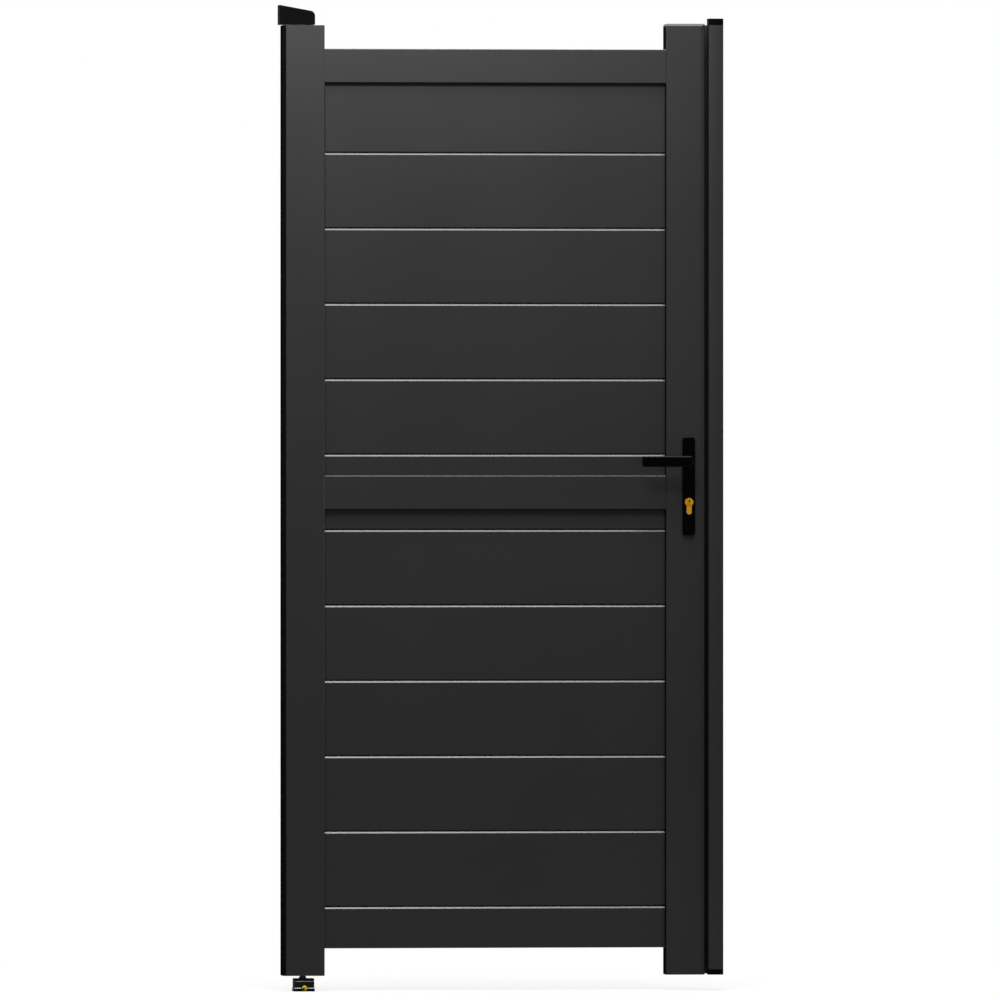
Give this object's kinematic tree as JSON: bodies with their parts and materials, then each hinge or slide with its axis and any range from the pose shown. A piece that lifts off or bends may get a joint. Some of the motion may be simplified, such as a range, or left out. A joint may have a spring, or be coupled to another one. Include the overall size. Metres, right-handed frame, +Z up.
{
  "type": "pedestrian gate",
  "caption": "Solid-board aluminium pedestrian gate leaf on a floor pivot and an upper hinge bracket, with a lever handle set, a lock cylinder and a wall strike.",
  "frame": {"origin": "hinge axis on the underside of the floor pivot, at ground level", "axes": "+X from the hinge side to the strike side, +Y from the front to the back, +Z up along the hinge axis"},
  "size_m": [0.886, 0.162, 1.9613],
  "materials": {
    "charcoal_coat": "fine-textured matt powder coat",
    "black_metal": "black satin coat",
    "black_plastic": "matt black moulding",
    "grey_plastic": "natural nylon",
    "steel": "satin",
    "raw_aluminium": "mill",
    "brass": "satin",
    "yellow_zinc": "yellow zinc plating",
    "seal_rubber": "matt"
  },
  "bodies": {
    "wall_hardware": {"floor_pivot_base": "black_metal", "floor_pivot_slide": "steel", "floor_pivot_body": "charcoal_coat", "lower_pin": "steel", "adjusting_screw": "yellow_zinc", "hinge_bracket": "black_metal", "hinge_bracket_cover": "black_plastic", "upper_pin": "steel", "upper_washer": "grey_plastic", "strike_profile": "charcoal_coat", "strike_top_cap": "black_plastic", "strike_bottom_cap": "black_plastic", "strike_backplate": "charcoal_coat", "stop_bar": "charcoal_coat", "stop_seal": "seal_rubber"},
    "leaf": {"hinge_stile": "charcoal_coat", "lock_stile": "charcoal_coat", "lock_stile_cap": "charcoal_coat", "lock_stile_foot": "black_plastic", "upper_pivot_block": "raw_aluminium", "lower_pivot_block": "raw_aluminium", "top_rail": "charcoal_coat", "mid_rail": "charcoal_coat", "bottom_rail": "charcoal_coat", "board_01": "charcoal_coat", "board_02": "charcoal_coat", "board_03": "charcoal_coat", "board_04": "charcoal_coat", "board_05": "charcoal_coat", "board_06_upper": "charcoal_coat", "board_06_lower": "charcoal_coat", "board_07": "charcoal_coat", "board_08": "charcoal_coat", "board_09": "charcoal_coat", "board_10": "charcoal_coat", "board_11": "charcoal_coat", "handle_plate_front": "black_metal", "handle_plate_back": "black_metal", "lock_case": "steel", "latch_bolt": "steel", "dead_bolt": "steel", "lock_cylinder": "brass"},
    "lever_set": {"lever_front": "black_metal", "lever_back": "black_metal", "lever_spindle": "steel"}
  },
  "joints": [
    {"name": "leaf_swing", "type": "hinge", "parent": "wall_hardware", "child": "leaf", "pos_m": [0, 0, 0], "axis": [0, 0, -1], "range_deg": [0, 100]},
    {"name": "lever_turn", "type": "hinge", "parent": "leaf", "child": "lever_set", "pos_m": [0.77, 0, 1.0535], "axis": [0, -1, 0], "range_deg": [0, 40], "stiffness_Nm_per_rad": 1.5, "springref_deg": -28.65}
  ]
}
